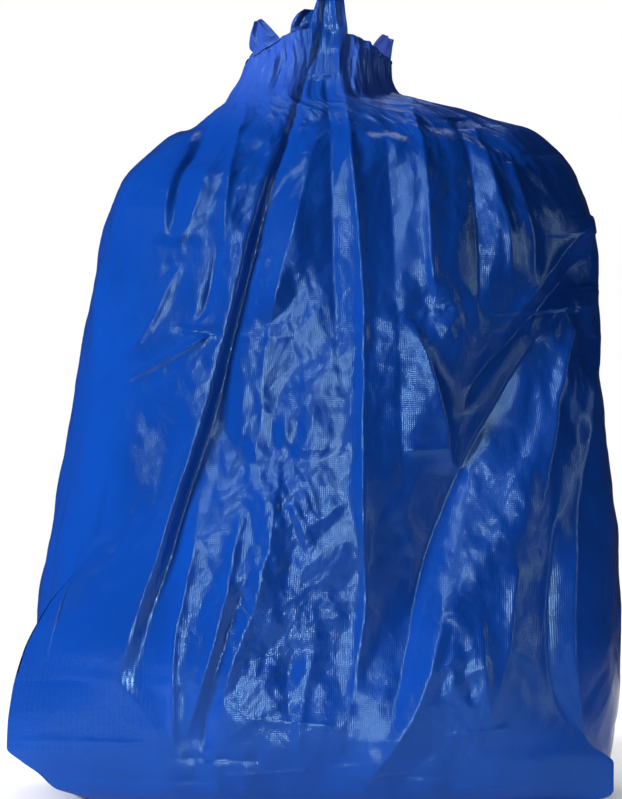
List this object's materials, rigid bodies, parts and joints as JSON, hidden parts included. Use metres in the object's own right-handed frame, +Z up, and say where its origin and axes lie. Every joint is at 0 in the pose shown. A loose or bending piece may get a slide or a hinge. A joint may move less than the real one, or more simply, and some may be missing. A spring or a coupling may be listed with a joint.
{
  "type": "polythene sack",
  "caption": "Glossy blue polythene sack standing open on its welded base, gathered at the shoulders into a short neck that ends in tie flaps",
  "frame": {"origin": "On the floor, under the centre of the whole sack's box", "axes": "+Z up through the neck, the front faces -Y, +X to the right of someone facing the front"},
  "size_m": [0.6, 0.29, 0.773],
  "materials": {
    "film": "embossed glossy polythene film, deep blue, creased",
    "base_film": "embossed glossy polythene film, deep blue, flat under the load",
    "weld": "heat-welded film, darker and smoother",
    "tie_flap": "doubled polythene film with a cut edge",
    "corner_ear": "doubled polythene film folded flat at the gusset"
  },
  "bodies": {
    "sack": {"front_panel": "film", "back_panel": "film", "left_gusset": "film", "right_gusset": "film", "base_front": "base_film", "base_back": "base_film", "bottom_seal": "weld"},
    "neck": {"neck_front": "film", "neck_back": "film", "neck_left": "film", "neck_right": "film"},
    "front_flap": {"front_tie_flap": "tie_flap"},
    "rear_flap": {"rear_tie_flap": "tie_flap"},
    "left_flap": {"left_tie_flap": "tie_flap"},
    "right_flap": {"right_tie_flap": "tie_flap"},
    "left_corner": {"left_corner_ear": "corner_ear"},
    "right_corner": {"right_corner_ear": "corner_ear"}
  },
  "joints": [
    {"name": "neck_nod", "type": "hinge", "parent": "sack", "child": "neck", "pos_m": [0.004, 0, 0.68874], "axis": [1, 0, 0], "range_deg": [-12, 12]},
    {"name": "front_flap_fold", "type": "hinge", "parent": "neck", "child": "front_flap", "pos_m": [0.014, -0.038, 0.7463], "axis": [1, 0, 0], "range_deg": [-75, 100]},
    {"name": "rear_flap_fold", "type": "hinge", "parent": "neck", "child": "rear_flap", "pos_m": [0, 0.038, 0.7463], "axis": [-1, 0, 0], "range_deg": [-75, 100]},
    {"name": "left_flap_fold", "type": "hinge", "parent": "neck", "child": "left_flap", "pos_m": [-0.04479, -0.02687, 0.73021], "axis": [0.7508, -0.4135, 0.515], "range_deg": [-60, 100]},
    {"name": "right_flap_fold", "type": "hinge", "parent": "neck", "child": "right_flap", "pos_m": [0.06798, 0.01423, 0.7177], "axis": [-0.5175, 0.7051, 0.4848], "range_deg": [-60, 100]},
    {"name": "left_corner_fold", "type": "hinge", "parent": "sack", "child": "left_corner", "pos_m": [-0.26, -0.0783, 0.08], "axis": [0, 0, 1], "range_deg": [-40, 40]},
    {"name": "right_corner_fold", "type": "hinge", "parent": "sack", "child": "right_corner", "pos_m": [0.266, -0.0986, 0.05], "axis": [0, 0, -1], "range_deg": [-40, 40]}
  ]
}
